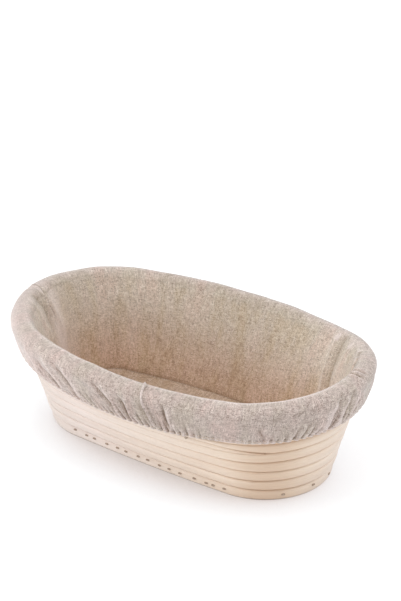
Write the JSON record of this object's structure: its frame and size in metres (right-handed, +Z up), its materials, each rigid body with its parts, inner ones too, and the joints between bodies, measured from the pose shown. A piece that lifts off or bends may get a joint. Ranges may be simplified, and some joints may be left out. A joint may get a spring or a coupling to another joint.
{
  "type": "proofing basket",
  "caption": "Oval coiled-cane proofing basket with flared walls and a linen liner whose elastic hem grips the rim, for shaping dough as it rises.",
  "frame": {"origin": "middle of the object's footprint, on the surface it stands on", "axes": "+X along the basket's length, +Y across it towards the back in the picture, +Z up through the mouth"},
  "size_m": [0.2482, 0.1572, 0.0802],
  "materials": {
    "cane": "matte",
    "brads": "dull",
    "linen": "woven",
    "thread": "spun",
    "elastic": "covered"
  },
  "bodies": {
    "basket": {"base_core_canes": "cane", "base_coil": "cane", "wall_cane_1": "cane", "wall_cane_2": "cane", "wall_cane_3": "cane", "wall_cane_4": "cane", "base_brads": "brads", "edge_brads": "brads", "wall_brads_1": "brads", "wall_brads_2": "brads", "wall_brads_3": "brads", "wall_brads_4": "brads", "splice_brads": "brads"},
    "liner": {"liner_floor": "linen", "liner_wall": "linen", "liner_skirt": "linen", "hem_casing": "linen", "hem_elastic": "elastic", "floor_seam_thread": "thread", "closing_seam_thread": "thread", "hem_thread": "thread"}
  },
  "joints": [
    {"name": "liner_lift", "type": "slide", "parent": "basket", "child": "liner", "axis": [0, 0, 1], "range_m": [0, 0.09], "deforming": ["liner_skirt", "hem_casing", "hem_elastic", "hem_thread"]}
  ]
}
